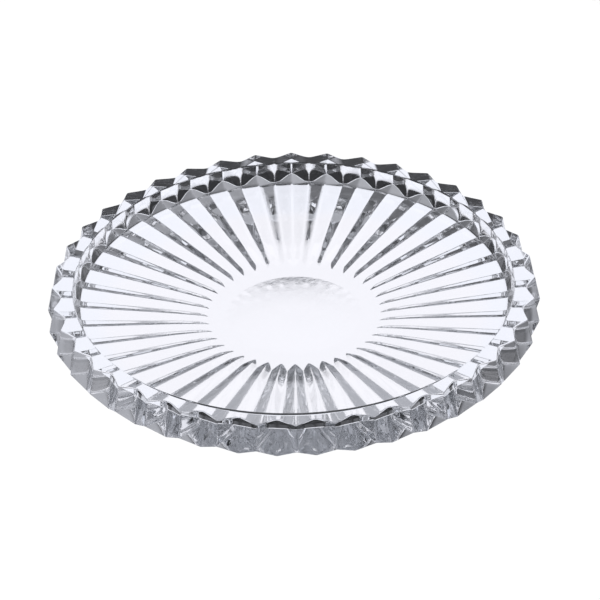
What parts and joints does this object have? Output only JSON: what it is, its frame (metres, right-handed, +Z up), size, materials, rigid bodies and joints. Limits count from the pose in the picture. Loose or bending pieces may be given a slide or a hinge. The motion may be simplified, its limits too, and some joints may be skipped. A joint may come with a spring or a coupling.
{
  "type": "serving plate",
  "caption": "Round clear crystal serving plate with a toothed flat rim, a fluted flaring wall, a shallow well, a pleated underside and a flat foot ring.",
  "frame": {"origin": "centre of the foot ring's underside, on the surface the plate stands on", "axes": "+Z up along the plate's round axis, +X towards the tip of a tooth"},
  "size_m": [0.3, 0.3, 0.0312],
  "materials": {
    "body_crystal": "polished clear crystal",
    "foot_crystal": "polished clear crystal"
  },
  "bodies": {
    "root": {"plate_body": "body_crystal", "foot_ring": "foot_crystal"}
  },
  "joints": []
}
